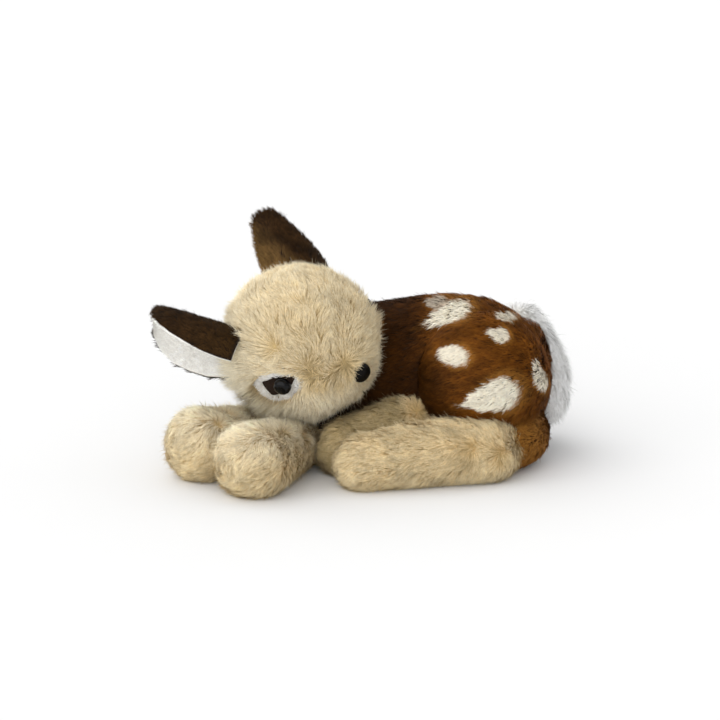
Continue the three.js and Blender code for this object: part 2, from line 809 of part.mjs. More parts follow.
const earMiddle = new THREE.Vector3();
const earHinge = new THREE.Vector3(1, 0, 0);
const earRooms = [];
const ears = {};
for (const [side, mirror] of [
  ["left", 1],
  ["right", -1],
]) {
  const [placeX, placeY, placeZ] = earLineShares;
  const [leanX, leanY, leanZ] = earLeanShares;
  const lean = new THREE.Vector3(leanX, leanY * mirror, leanZ).normalize();
  const spot = frameOnHead(new THREE.Vector3(placeX, placeY * mirror, placeZ), noseLine, earRollSeat);
  const facing = new THREE.Vector3(0.5, mirror, 0);
  facing.addScaledVector(lean, -facing.dot(lean)).normalize();
  facing.applyAxisAngle(lean, -mirror * earTurn[side] * degrees);
  const across = new THREE.Vector3().crossVectors(lean, facing);
  const frame = new THREE.Matrix4().makeBasis(across, lean, facing).setPosition(
    new THREE.Vector3().setFromMatrixPosition(spot),
  );
  const ear = new THREE.Group();
  ear.applyMatrix4(frame);
  head.add(ear);
  ears[side] = { ear, across, frame };
  const headInEar = moved(headBulk(seamGap + facetAllowance, 14, 9), frame.clone().invert());
  const earRoll = (grow) => roll(earMiddle, earHinge, earRollRadius + grow, earRollLength);
  const turns = [-earSwing, 0, earSwing].map((angle) =>
    moved(headInEar.subtract(earRoll(seamGap)), turnAbout(earMiddle, earHinge, angle)),
  );
  const leaf = solidOf(earLeaf(-earBackThickness, 0, 0));
  const lining = solidOf(earLeaf(seamGap, seamGap + earLiningThickness, earRimWidth));
  addPiece(ear, side + "_ear_back", without(leaf, ...turns).add(earRoll(0)), "darkFur");
  addPiece(ear, side + "_ear_lining", without(lining, ...turns, earRoll(seamGap)), "whiteFur");
  earRooms.push(moved(earRoll(seatGap), frame));
}

const headSkin = without(
  headBulk(0),
  headInner,
  neckSeat,
  ...fieldHoles,
  ...earRooms,
  noseHole,
);
addPiece(head, "head_skin", headSkin, "creamFur");
addPiece(
  head,
  "head_stuffing",
  without(headBulk(stuffingInset), neckSeat, ...buttonRoom, ...earRooms),
  "stuffing",
);

// The origin is set under the middle of the whole toy.
fawn.updateMatrixWorld(true);
const whole = new THREE.Box3().setFromObject(fawn, true);
const middle = whole.getCenter(new THREE.Vector3());
fawn.position.set(-middle.x, -middle.y, -whole.min.z);

export default fawn;
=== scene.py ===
"""Looks of a plush fawn that lies curled up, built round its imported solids.

Metres, +X to the rump, +Y behind the back, +Z up, the origin on the floor under its middle.
"""

import json
import math

import bmesh
import bpy
import numpy as np
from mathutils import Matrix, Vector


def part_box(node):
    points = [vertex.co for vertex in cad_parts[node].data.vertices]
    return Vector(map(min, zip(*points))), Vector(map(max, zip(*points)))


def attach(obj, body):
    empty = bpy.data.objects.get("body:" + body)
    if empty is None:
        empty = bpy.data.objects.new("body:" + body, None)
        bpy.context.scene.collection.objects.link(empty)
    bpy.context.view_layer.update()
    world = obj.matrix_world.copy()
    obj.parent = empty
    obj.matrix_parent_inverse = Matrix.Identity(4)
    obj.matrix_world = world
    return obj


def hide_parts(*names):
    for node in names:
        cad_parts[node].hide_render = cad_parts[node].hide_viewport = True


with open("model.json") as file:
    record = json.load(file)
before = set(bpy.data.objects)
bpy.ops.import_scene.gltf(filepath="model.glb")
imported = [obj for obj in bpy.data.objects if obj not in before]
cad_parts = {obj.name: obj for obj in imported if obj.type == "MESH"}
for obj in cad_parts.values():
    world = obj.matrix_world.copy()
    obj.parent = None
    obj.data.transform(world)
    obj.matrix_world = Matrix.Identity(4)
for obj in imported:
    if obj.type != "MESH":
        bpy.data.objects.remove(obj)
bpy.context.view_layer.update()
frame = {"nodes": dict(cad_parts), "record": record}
mm = 0.001

# Camera: a long lens, far off, that looks a little down at the toy.
camera_target = np.array([1.9, 13.5, 72.5]) * mm
camera_height = math.radians(16)
camera_distance = 2.8
view_width = 504 * mm
sight = np.array([0, math.cos(camera_height), -math.sin(camera_height)])
sight_up = np.array([0, math.sin(camera_height), math.cos(camera_height)])

camera_data = bpy.data.cameras.new("camera")
camera_data.sensor_width = 36
camera_data.lens = 36 * camera_distance / view_width
camera_data.clip_end = 20
camera = bpy.data.objects.new("camera", camera_data)
camera.location = camera_target - camera_distance * sight
camera.rotation_euler = (math.pi / 2 - camera_height, 0, 0)
bpy.context.scene.collection.objects.link(camera)
bpy.context.scene.camera = camera

# Studio: a wide white floor that keeps the toy's shadow, a pale surround, a soft lamp above, behind and
# to the left, a wider and stronger one low in front, and a weak one above and behind the rump.
scene = bpy.context.scene
scene.view_settings.view_transform = "Standard"


def new_material(name):
    """A material with only a Principled shader and its output; gives the material, its tree, the shader."""
    material = bpy.data.materials.new(name)
    material.use_nodes = True
    tree = material.node_tree
    return material, tree, tree.nodes["Principled BSDF"]


def add_node(tree, kind, **values):
    """A new shader node; an input's value goes by its name, with _ for a space."""
    node = tree.nodes.new("ShaderNode" + kind)
    set_inputs(node, **values)
    return node


def set_inputs(node, **values):
    """Sets inputs of a node by name, with _ for a space."""
    for entry, value in values.items():
        node.inputs[entry.replace("_", " ")].default_value = value


def link(tree, *joints):
    """Joins nodes: each joint is a node and its output, then a node and its input."""
    for source, output, target, entry in joints:
        tree.links.new(source.outputs[output], target.inputs[entry])


def new_object(name, mesh, material):
    """Puts a mesh in the scene as an object of its own."""
    made = bpy.data.objects.new(name, mesh)
    mesh.materials.append(material)
    scene.collection.objects.link(made)
    return made


world = bpy.data.worlds.new("surround")
world.use_nodes = True
scene.world = world
world_tree = world.node_tree
sky = world_tree.nodes["Background"]
set_inputs(sky, Color=(1, 1, 1, 1), Strength=0.64)
white = add_node(world_tree, "Background", Color=(1, 1, 1, 1))
path = add_node(world_tree, "LightPath")
seen = add_node(world_tree, "Math")
seen.operation = "MAXIMUM"
pick = add_node(world_tree, "MixShader")
link(
    world_tree,
    (path, "Is Camera Ray", seen, 0),
    (path, "Is Transmission Ray", seen, 1),
    (seen, 0, pick, "Fac"),
    (sky, 0, pick, 1),
    (white, 0, pick, 2),
    (pick, 0, world_tree.nodes["World Output"], "Surface"),
)

for name, energy, spread, turned in (
    ("softbox", 0.85, 60, (-22, -30, 0)),
    ("fill", 2.08, 90, (66, 0, -32)),
    ("rim", 0.5, 90, (-40, 40, 0)),
):
    lamp_data = bpy.data.lights.new(name, "SUN")
    lamp_data.energy = energy
    lamp_data.angle = math.radians(spread)
    lamp = bpy.data.objects.new(name, lamp_data)
    lamp.rotation_euler = [math.radians(angle) for angle in turned]
    scene.collection.objects.link(lamp)

floor_mesh = bpy.data.meshes.new("floor")
floor_half = 6.0
floor_corners = [(x * floor_half, y * floor_half, 0) for x, y in ((-1, -1), (1, -1), (1, 1), (-1, 1))]
floor_mesh.from_pydata(floor_corners, [], [(0, 1, 2, 3)])
floor_paint, _, floor_shader = new_material("floor_paint")
set_inputs(floor_shader, Base_Color=(0.82, 0.82, 0.82, 1), Roughness=0.9, Specular_IOR_Level=0.0)
floor = new_object("floor", floor_mesh, floor_paint)

# Head: a stuffed ball of long cream plush with a low muzzle. It is sewn round the neck, and lies
# with its chin on the forelegs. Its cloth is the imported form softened; the pile is real strands.
head_middle = np.sum(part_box("head_skin"), axis=0) / 2
head_halves = np.array([51, 48.5, 51]) * mm
muzzle_reach = 2.5 * mm
muzzle_spread = math.radians(26)
head_turn = np.radians([28.7, -1.9, -48.8])
nose_line = np.array([0.95, 0, -0.311]) / math.hypot(0.95, 0.311)


def turning(about_x, about_y, about_z):
    """The matrix that turns about X, then Y, then Z."""
    cx, sx = math.cos(about_x), math.sin(about_x)
    cy, sy = math.cos(about_y), math.sin(about_y)
    cz, sz = math.cos(about_z), math.sin(about_z)
    return (
        np.array([[cz, -sz, 0], [sz, cz, 0], [0, 0, 1]])
        @ np.array([[cy, 0, sy], [0, 1, 0], [-sy, 0, cy]])
        @ np.array([[1, 0, 0], [0, cx, -sx], [0, sx, cx]])
    )


head_axes = turning(*head_turn)


def lengths(vectors):
    """How long each vector is."""
    return np.linalg.norm(vectors, axis=-1)


def unit(vectors):
    """Each vector divided by its own length."""
    return vectors / np.maximum(lengths(vectors)[..., None], 1e-12)


def linear(red, green, blue):
    """An sRGB colour, 0 to 255, as linear light."""
    c = np.array([red, green, blue]) / 255
    return np.where(c <= 0.04045, c / 12.92, ((c + 0.055) / 1.055) ** 2.4)


def ramp(values, start, span):
    """0 up to start and 1 from a span past it, straight between. A negative span falls instead."""
    return np.clip((values - start) / span, 0, 1)


def bell(values, reach):
    """1 at zero, falling away smoothly over a reach."""
    return np.exp(-((values / reach) ** 2))


def softened_cloth(name, node, material, voxel=1.7 * mm, puff=0.0):
    """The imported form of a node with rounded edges: merged, remeshed in small cubes, smoothed, and
    moved out along its normals by puff."""
    mesh = frame["nodes"][node].data.copy()
    mesh.materials.clear()
    made = new_object(name, mesh, material)
    weld = made.modifiers.new("weld", "WELD")
    weld.merge_threshold = 1e-5
    remesh = made.modifiers.new("remesh", "REMESH")
    remesh.mode = "VOXEL"
    remesh.voxel_size = voxel
    smooth = made.modifiers.new("smooth", "SMOOTH")
    smooth.factor = 0.5
    smooth.iterations = 6
    graph = bpy.context.evaluated_depsgraph_get()
    soft = bpy.data.meshes.new_from_object(made.evaluated_get(graph))
    made.modifiers.clear()
    made.data = soft
    if puff:
        places, ways = np.empty((2, len(soft.vertices) * 3))
        soft.vertices.foreach_get("co", places)
        soft.vertex_normals.foreach_get("vector", ways)
        soft.vertices.foreach_set("co", places + ways * puff)
    soft.shade_smooth()
    return made


rng = np.random.default_rng(11)  # every random draw comes from this, in the order of the script
thin_out = 1.0


def ripple(places, wavelength, waves=9):
    """Smooth noise of about -1 to 1: the sum of plane waves in random directions."""
    ways = unit(rng.normal(size=(waves, 3))) * 2 * math.pi / wavelength
    ways *= rng.uniform(0.6, 1.5, (waves, 1))
    return np.sin(places @ ways.T + rng.uniform(0, 2 * math.pi, waves)).sum(1) * math.sqrt(2 / waves) / 1.5


def roots_on(grid, density):
    """Random places over a grid of quads, and the way out there: density strands to a square mm."""
    along, around = np.gradient(grid, axis=0), np.gradient(grid, axis=1)
    outward = unit(np.cross(along, around))
    a, b, c, d = grid[:-1, :-1], grid[1:, :-1], grid[1:, 1:], grid[:-1, 1:]
    area = np.linalg.norm(np.cross(c - a, d - b), axis=-1) / 2
    counts = rng.poisson(area * (density / mm**2 * thin_out))
    row, column = (np.repeat(index.ravel(), counts.ravel()) for index in np.indices(counts.shape))
    u, v = rng.random((2, len(row), 1))

    def between(values):
        low = values[row, column] * (1 - v) + values[row, column + 1] * v
        high = values[row + 1, column] * (1 - v) + values[row + 1, column + 1] * v
        return low * (1 - u) + high * u

    return between(grid), unit(between(outward))


def tufts(roots, per_tuft):
    """The root that leads each root's tuft: the nearest of some that are picked at random."""
    leads = rng.choice(len(roots), max(1, len(roots) // per_tuft), replace=False)
    places = roots[leads].astype(np.float32)
    squares = (places**2).sum(1) / 2
    parts = np.array_split(roots.astype(np.float32), max(1, len(roots) // 4000))
    return np.concatenate([leads[np.argmax(part @ places.T - squares, axis=1)] for part in parts])


def flow(roots, outward, base, stir, scale, whorls=()):
    """The way that the pile lies: a base way, plus a burst away from each whorl, plus a slow stir,
    all laid into the surface. A whorl is its place, its reach and its strength."""
    way = np.broadcast_to(base, roots.shape).astype(float).copy()
    for place, reach, strength in whorls:
        away = roots - place
        far = lengths(away)[:, None]
        way += strength * unit(away) * bell(far, reach)
    for axis in range(3):
        way[:, axis] += stir * ripple(roots, scale)
    way -= outward * (way * outward).sum(1, keepdims=True)
    return unit(way)


root_depth = 0.4 * mm  # how far under the cloth a strand starts
floor_gap = 0.3 * mm
most_bend = 1.62  # of a strand from the way out of the cloth, in radians


def pile(name, roots, outward, lay, shades, length, lean, width, gather, unruly, per_tuft=26, loose=0.06):
    """A mesh of strands, each a ribbon of two lengths that bends over from the cloth to the way it
    lies. Tips are drawn towards the tip that leads their tuft, and a tuft's own way strays by unruly,
    in radians. shades are the colours at the root, the middle and the tip, kept as an attribute. Each
    strand's normals lean from its own flat side towards the way out of the cloth, as light scatters
    in a deep pile."""
    count = len(roots)
    lead = tufts(roots, per_tuft)
    length = np.broadcast_to(length, count) * rng.uniform(0.75, 1.15, count)
    lean = np.broadcast_to(lean, count) + rng.normal(0, 0.1, count) + rng.normal(0, unruly * 0.6, count)[lead]
    stray = rng.random(count) < loose
    lean = np.where(stray, lean * rng.uniform(0.35, 0.9, count), lean)
    aside = np.cross(outward, lay)
    sway = rng.normal(0, 0.18, count) + rng.normal(0, unruly, count)[lead]
    sway += np.where(stray, rng.normal(0, 0.5, count), 0)
    lay = unit(lay + aside * sway[:, None])

    def step(share):
        angle = (np.clip(lean * share, 0, most_bend))[:, None]
        return outward * np.cos(angle) + lay * np.sin(angle)

    half = (length / 2)[:, None]
    low = roots - outward * root_depth
    middle = roots + half * step(0.72)
    tip = middle + half * step(1.12)
    pull = np.where(stray, 0, gather * rng.uniform(0.4, 1, count))[:, None]
    middle += pull * 0.3 * (middle[lead] - middle)
    tip += pull * (tip[lead] - tip)
    way = unit(tip - low)
    side = unit(np.cross(way, outward))
    twist = rng.normal(0, 0.45, (count, 1))
    side = side * np.cos(twist) + np.cross(way, side) * np.sin(twist)
    flat_way = np.cross(side, way)
    turned = np.where((flat_way * outward).sum(1, keepdims=True) < 0, -1.0, 1.0)
    side, flat_way = side * turned, flat_way * turned
    half_width = (np.broadcast_to(width, count) * rng.uniform(0.7, 1.2, count) / 2)[:, None]
    edge = side * half_width
    points = np.stack([low - edge, low + edge, middle - edge * 0.85, middle + edge * 0.85, tip], axis=1)
    points[..., 2] = np.maximum(points[..., 2], floor_gap)
    tone = (rng.normal(1, 0.06, count) * rng.normal(1, 0.05, count)[lead])[:, None]
    colours = np.ones((count, 5, 4))
    for index, level in enumerate((0, 0, 1, 1, 2)):
        colours[:, index, :3] = np.clip(shades[level] * tone, 0, 1)

    mesh = bpy.data.meshes.new(name)
    mesh.vertices.add(count * 5)
    mesh.vertices.foreach_set("co", points.ravel())
    first = np.arange(count)[:, None] * 5
    corners = np.concatenate([first + [0, 1, 3, 2], first + [2, 3, 4]], axis=1).ravel()
    mesh.loops.add(count * 7)
    mesh.loops.foreach_set("vertex_index", corners)
    mesh.polygons.add(count * 2)
    starts = (np.arange(count)[:, None] * 7 + [0, 4]).ravel()
    mesh.polygons.foreach_set("loop_start", starts)
    mesh.polygons.foreach_set("use_smooth", np.ones(count * 2, bool))
    mesh.update(calc_edges=True)
    facing = unit(outward + 0.25 * flat_way)[:, None] + np.zeros((1, 5, 1))
    mesh.normals_split_custom_set_from_vertices(facing.reshape(-1, 3).tolist())
    mesh.attributes.new("pile_colour", "FLOAT_COLOR", "POINT").data.foreach_set("color", colours.ravel())
    cells = math.ceil(math.sqrt(count))
    strand = np.arange(count)[:, None]
    corner = np.stack([strand % cells, strand // cells], axis=-1)
    left, right, foot, knee = 0.06, 0.94, 0.04, 0.5
    lower = [[left, foot], [right, foot], [right, knee], [left, knee]]
    inset = np.array(lower + [[left, knee], [right, knee], [0.5, 0.97]])
    places = (corner + inset[None]) / cells
    mesh.uv_layers.new(name="OFBake").data.foreach_set("uv", places.ravel())
    return mesh


def fur(name, material, *strands, **habits):
    """An object of pile. strands and habits are what pile asks for after its name."""
    return new_object(name, pile(name, *strands, **habits), material)


def plain_shades(roots, *colours):
    """The same colours for every root."""
    return tuple(np.broadcast_to(colour, roots.shape) for colour in colours)


def pile_material(name, roughness=0.65, sheen=0.08, gloss=0.12):
    """Plush: the strands' own colours, broken up along their length by fine noise, and a low sheen."""
    material, tree, shader = new_material(name)
    shade = add_node(tree, "Attribute")
    shade.attribute_name = "pile_colour"
    place = add_node(tree, "TexCoord")
    streaks = add_node(tree, "TexNoise", Scale=420, Detail=3)
    spread = add_node(tree, "MapRange", From_Min=0.3, From_Max=0.7, To_Min=0.86, To_Max=1.1)
    blend = add_node(tree, "VectorMath")
    blend.operation = "SCALE"
    link(
        tree,
        (place, "Object", streaks, "Vector"),
        (streaks, "Fac", spread, "Value"),
        (shade, "Color", blend, 0),
        (spread, "Result", blend, "Scale"),
        (blend, "Vector", shader, "Base Color"),
    )
    set_inputs(shader, Roughness=roughness, Specular_IOR_Level=gloss, Sheen_Weight=sheen, Sheen_Roughness=0.5)
    return material


def grained(tree, shader, texture, output, colour, light, strength, depth):
    """Gives a shader a colour between two lights of it, and a bump, both by a texture's output."""
    place = add_node(tree, "TexCoord")
    shades = add_node(tree, "ValToRGB")
    for stop, level in zip(shades.color_ramp.elements, light):
        stop.color = (*np.clip(colour * level, 0, 1), 1)
    bump = add_node(tree, "Bump", Strength=strength, Distance=depth)
    link(
        tree,
        (place, "Object", texture, "Vector"),
        (texture, output, shades, "Fac"),
        (texture, output, bump, "Height"),
        (shades, "Color", shader, "Base Color"),
        (bump, "Normal", shader, "Normal"),
    )


def cloth_material(name, colour):
    """The knitted backing that the pile grows from: a plain colour with a fine knit bump."""
    material, tree, shader = new_material(name)
    knit = add_node(tree, "TexVoronoi", Scale=900)
    grained(tree, shader, knit, "Distance", colour, (0.8, 1.1), 0.4, 0.3 * mm)
    set_inputs(shader, Roughness=0.9, Specular_IOR_Level=0.2)
    return material


def head_surface(ways):
    """How far the head's surface is from its middle: an ellipsoid, plus a bell round the nose's line."""
    round_form = 1 / lengths(ways / head_halves)
    apart = np.arccos(np.clip(ways @ nose_line, -1, 1))
    return round_form + muzzle_reach * bell(apart, muzzle_spread)


def head_frame(line):
    """Place and axes on the head in a direction: onward to the nose, aside, and out."""
    spot = unit(np.array(line, float))
    out = unit(spot / head_halves**2)
    aside = unit(np.cross(out, nose_line))
    onward = np.cross(aside, out)
    return spot * head_surface(spot), np.stack([onward, aside, out], axis=1)


def to_world(places):
    """Places in the head's own frame, in the toy's."""
    return places @ head_axes.T + head_middle


def inside_head(places, grow):
    """Which places lie inside the head's form, moved out by grow."""
    own = (places - head_middle) @ head_axes
    return lengths(own) < head_surface(unit(own)) + grow


turns = np.linspace(0, 2 * math.pi, 97)
tilts = np.linspace(0.001, math.pi - 0.001, 49)[:, None]
flat_x, flat_y = np.sin(tilts) * np.cos(turns), np.sin(tilts) * np.sin(turns)
ball_ways = np.stack([flat_x, flat_y, np.cos(tilts) * np.ones_like(turns)], axis=-1)
head_grid = to_world(ball_ways * head_surface(ball_ways)[..., None])

ear_line = np.array([-0.46, 0.71, 0.53])
eye_line = np.array([0.49, 0.939, 0])
eye_tilt = math.radians(-36)
eye_field_halves = np.array([22.5, 12.5]) * mm
eye_field_set = -7.5 * mm


def eye_frame(side):
    """An eye's place on the head, and its axes along its almond, across it and out."""
    place, axes = head_frame(eye_line * [1, side, 1])
    turn = eye_tilt * side
    along = math.cos(turn) * axes[:, 0] + math.sin(turn) * axes[:, 1]
    return place, np.stack([along, np.cross(axes[:, 2], along), axes[:, 2]], axis=1)


def eye_oval(offset, axes):
    """How far places are from an eye's middle, as a share of its white oval."""
    along, across = offset @ axes[:, 0], offset @ axes[:, 1]
    return np.hypot((along - eye_field_set) / eye_field_halves[0], across / eye_field_halves[1])


cream_root, cream_middle, cream_tip = linear(220, 194, 142), linear(231, 211, 168), linear(242, 231, 202)

head_roots, head_out = roots_on(head_grid, density=2.0)
own = (head_roots - head_middle) @ head_axes
keep = np.ones(len(own), bool)
far_off = 9.0
near_eye = np.full(len(own), far_off)
for side in (1, -1):
    place, axes = eye_frame(side)
    reach = np.where(own[:, 1] * side < 0, far_off, eye_oval(own - place, axes))
    near_eye = np.minimum(near_eye, reach)
    keep &= reach > 0.93
nose_place = head_frame(nose_line)[0]
near_nose = lengths(own - nose_place) / (8 * mm)
keep &= near_nose > 0.82
head_roots, head_out, own, near_eye, near_nose = (
    values[keep] for values in (head_roots, head_out, own, near_eye, near_nose)
)
bridge_ends = to_world(unit(np.array([[0.814, -0.581, 0.026], [0.969, -0.19, -0.13]])) * 49 * mm)
bursts = to_world(unit(np.array([[0.435, -0.697, 0.57], [1, 0.017, -0.026]])) * 50 * mm)
bridge = bridge_ends[1] - bridge_ends[0]
along_bridge = np.clip((head_roots - bridge_ends[0]) @ bridge / (bridge @ bridge), 0, 1)[:, None]
from_bridge = head_roots - (bridge_ends[0] + along_bridge * bridge)
head_whorls = [(bursts[0], 11 * mm, 1.3), (bursts[1], 10 * mm, 1.2)]
lay = flow(head_roots, head_out, unit(from_bridge), stir=0.38, scale=24 * mm, whorls=head_whorls)
far_from_bridge = lengths(from_bridge)
crown = ramp(head_out[:, 2], 0.35, 0.5)
cheek = np.clip(-head_out[:, 0] - head_out[:, 2] * 0.5, 0, 1)
jowl = np.clip(-0.9 * head_out[:, 0] - 0.7 * head_out[:, 2] - 0.25, 0, 0.8) / 0.8
jowl = jowl * ramp(head_out[:, 1], 0.2, -0.5)  # only on the cheek that the photograph shows
shorter = np.clip((near_nose - 0.4) / 1.1, 0.6, 1)
nape = ramp(head_out[:, 0], 0.3, 0.5) * ramp(head_out[:, 2], -0.2, 0.4)
ear_places = [head_frame(ear_line * [1, side, 1])[0] for side in (1, -1)]
near_ear = np.min([lengths(own - place) for place in ear_places], axis=0)
near_ring = np.where(own[:, 1] < 0, ramp(near_eye, 1.0, 0.7), 1)
pile_length = 10.5 + 2 * cheek - 1.5 * crown - 2.5 * nape * (own[:, 1] < 20 * mm) + 8 * jowl
pile_length = pile_length * mm * shorter * (0.7 + 0.3 * near_ring)
pile_length *= 1 - 0.5 * bell(near_ear, 17 * mm)
pile_lean = 1.22 + 0.1 * crown - 0.2 * cheek - 0.35 * jowl + 0.1 * ripple(head_roots, 20 * mm)
# The hood is the pile that stands up before the left eye and hides it from the camera.
hood = ramp(near_eye, 1.7, -0.5) * ramp(head_out[:, 1], 0.35, -0.3) * (own[:, 1] > 0)
pile_lean -= 0.3 * hood
shade = 1 + 0.05 * ripple(head_roots, 22 * mm)
forehead_place = bursts[0] + np.array([12, 6, 12]) * mm
from_forehead = lengths(head_roots - forehead_place)
# Golden along the bridge and forehead: partly the pile's colour, partly painted shade in the fold, darkest at the
# roots.
golden = bell(far_from_bridge, 9 * mm) + 0.3 * bell(from_forehead, 22 * mm)
golden = np.clip(golden * (1 + 0.5 * ripple(head_roots, 5 * mm)), 0, 1)[:, None]
# Paler chin, cheeks and crown: partly their paler pile, partly painted light on the head's underside and top.
pale_and_painted_light = (0.1 * crown + 0.8 * np.clip(-head_out[:, 2] + 0.1, 0, 1) + 0.4 * cheek)[:, None]
middle_shade = cream_middle + (cream_tip - cream_middle) * np.clip(pale_and_painted_light, 0, 1.5)
middle_shade = (middle_shade + (cream_root - middle_shade) * golden) * shade[:, None]
tip_shade = cream_tip + (linear(255, 252, 240) - cream_tip) * 0.7 * np.clip(pale_and_painted_light, 0, 1)
tip_shade = tip_shade + (cream_middle * 0.9 - tip_shade) * golden
root_shade = cream_root * (1 - 0.55 * golden)

# The pile is clipped short where it would hang over the rings of the eyes and the nose.
shortest, nose_clear = 0.35, 6 * mm
clipped = np.full(len(own), shortest)
for share in (0.5, 0.65, 0.8, 1.0):
    tips = own + ((lay * 0.9 + head_out * 0.35) @ head_axes) * (pile_length * share)[:, None]
    clear = lengths(tips - nose_place) > nose_clear
    for side in (1, -1):
        place, axes = eye_frame(side)
        least = 0.98 if side < 0 else np.where(head_out[:, 1] < 0.25, 0.25, 0.6)
        clear &= (eye_oval(tips - place, axes) > least) | (own[:, 1] * side < 0)
    clipped = np.where(clear, share, clipped)
pile_length = pile_length * np.maximum(clipped, shortest + 0.75 * hood)
cream_pile = pile_material("cream_pile")
cream_cloth = cloth_material("cream_cloth", linear(205, 180, 130))
strand_width = 0.34 * mm
head_fur = fur(
    "head_fur", cream_pile, head_roots, head_out, lay, (root_shade, middle_shade, tip_shade),
    length=pile_length, lean=pile_lean, width=strand_width, gather=0.18, unruly=0.2, per_tuft=34,
)
head_cloth = softened_cloth("head_cloth", "head_skin", cream_cloth)
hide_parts("head_skin")
for piece in (head_cloth, head_fur):
    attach(piece, "head")

# Eyes: glossy moulded buttons on dark almond patches, in ovals of short white plush set into the head.
# Each button's shank runs through the cloth into a lock washer, which stays as packed.
eye_radius, eye_rise = 6.2 * mm, 5.0 * mm
patch_size = np.array([29, 15]) * mm
white_shades = linear(250, 246, 238), linear(254, 251, 246), linear(255, 254, 251)
thin_strand = 0.3 * mm


def dome_mesh(name, outline, rise, place, axes, depth, rings=14, fullness=2.4):
    """A closed button: a flat outline of points drawn up as the fullness-th root of what is left of one,
    with a wall down to its depth. place and axes are in the head's frame."""
    share = np.sin(np.linspace(0, math.pi / 2, rings))[::-1]
    up = rise * (1 - share**fullness) ** (1 / fullness)
    levels = np.concatenate([[-depth], up])
    scales = np.concatenate([[share[0]], share])
    flat = outline[None] * scales[:, None, None]
    own = np.concatenate([flat, np.broadcast_to(levels[:, None, None], flat.shape[:2] + (1,))], axis=2)
    points = np.concatenate([own[:-1].reshape(-1, 3), [[0, 0, rise], [0, 0, -depth]]])
    count = len(outline)
    crown = (len(own) - 1) * count
    steps = [(at, (at + 1) % count) for at in range(count)]
    quads = [
        (low + at, low + after, low + count + after, low + count + at)
        for low in range(0, crown - count, count)
        for at, after in steps
    ]
    top = [(crown - count + at, crown - count + after, crown) for at, after in steps]
    foot = [(after, at, crown + 1) for at, after in steps]
    mesh = bpy.data.meshes.new(name)
    mesh.from_pydata(to_world(points @ axes.T + place).tolist(), [], quads + top + foot)
    mesh.shade_smooth()
    return mesh


def gloss_material(name, colour, roughness, grain=0.0, grain_scale=900, shine=0.3):
    """Moulded plastic, dark and glossy, with an optional fine grain."""
    material, tree, shader = new_material(name)
    cloud = add_node(tree, "TexNoise", Scale=grain_scale, Detail=4)
    grained(tree, shader, cloud, "Fac", colour, (0.7, 1.4), grain, 0.25 * mm)
    set_inputs(shader, Roughness=roughness, Specular_IOR_Level=shine)
    return material


white_cloth = cloth_material("white_cloth", linear(248, 245, 239))
white_pile = pile_material("white_pile", roughness=0.7, sheen=0.05)
dark_felt = cloth_material("dark_felt", linear(38, 26, 18))
dark_pile = pile_material("dark_pile", roughness=0.6, sheen=0.0, gloss=0.06)
eye_plastic = gloss_material("eye_plastic", linear(10, 10, 11), 0.1, shine=0.18)
lock_plastic = gloss_material("lock_plastic", linear(225, 222, 214), 0.45, 0.1)
ring = np.linspace(0, 2 * math.pi, 49)[:-1]
for name, side in (("left", 1), ("right", -1)):
    place, axes = eye_frame(side)
    circle = np.stack([np.cos(ring), np.sin(ring)], axis=1) * eye_radius
    seat = place + axes[:, 2] * 1.0 * mm
    button_mesh = dome_mesh(name + "_eye_button", circle, eye_rise, seat, axes, 1.2 * mm)
    button = new_object(name + "_eye_button", button_mesh, eye_plastic)
    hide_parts(name + "_eye")

    patch_cloth = softened_cloth(name + "_eye_felt", name + "_eye_patch", dark_felt, 0.45 * mm)
    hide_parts(name + "_eye_patch")
    field_cloth = softened_cloth(name + "_eye_oval", name + "_eye_field", white_cloth, 0.9 * mm)
    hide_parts(name + "_eye_field")

    # The pile of the oval lies out from the patch, short and even.
    even = np.linspace(-1, 1, 33)
    flat = np.stack(np.meshgrid(even, even, indexing="ij"), axis=-1) * eye_field_halves + [eye_field_set, 0]
    sheet = place + flat @ axes[:, :2].T
    ways = unit(sheet)
    field_grid = to_world(ways * (head_surface(ways) - 0.9 * mm)[..., None])
    roots, out = roots_on(field_grid, density=3.2)
    if ((roots - head_middle) * out).sum() < 0:
        out = -out
    offset = (roots - head_middle) @ head_axes - place
    local = offset @ axes
    share = local[:, 0] / patch_size[0]
    narrow = 0.48 * (1 - ramp(share, -0.34, 0.78) ** 2) * patch_size[1]
    almond = (share > -0.6) & (share < 0.43) & (np.abs(local[:, 1]) < narrow)
    kept = (eye_oval(offset, axes) < 1.04) & ~almond
    roots, out = roots[kept], out[kept]
    away = roots - to_world(place[None])[0]
    lay = flow(roots, out, unit(away), stir=0.25, scale=12 * mm)
    shades = plain_shades(roots, *white_shades)
    field_fur = fur(
        name + "_eye_oval_fur", white_pile, roots, out, lay, shades,
        length=4 * mm, lean=1.36, width=thin_strand, gather=0.12, unruly=0.15, per_tuft=18,
    )
    for piece in (button, patch_cloth, field_cloth, field_fur):
        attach(piece, "head")

# Nose: a moulded button with a fine leather grain, wider at its top, held by a washer too.
nose_half = np.array([7, 7.5]) * mm
nose_rise = 6 * mm
nose_plastic = gloss_material("nose_plastic", linear(10, 8, 6), 0.4, 0.6, 1100, shine=0.1)
place, axes = head_frame(nose_line)
aside = unit(np.cross(axes[:, 2], np.array([0, 1.0, 0])))
axes = np.stack([np.cross(aside, axes[:, 2]), aside, axes[:, 2]], axis=1)
outline = np.stack([np.cos(ring) * (1 - 0.16 * np.sin(ring)), np.sin(ring)], axis=1) * nose_half
nose_mesh = dome_mesh("nose_button", outline, nose_rise, place + axes[:, 2] * 0.3 * mm, axes, 1 * mm)
nose_button = new_object("nose_button", nose_mesh, nose_plastic)
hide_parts("nose")
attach(nose_button, "head")
for name in ("left_eye_washer", "right_eye_washer", "nose_washer"):
    washer = frame["nodes"][name]
    washer.data.materials.clear()
    washer.data.materials.append(lock_plastic)

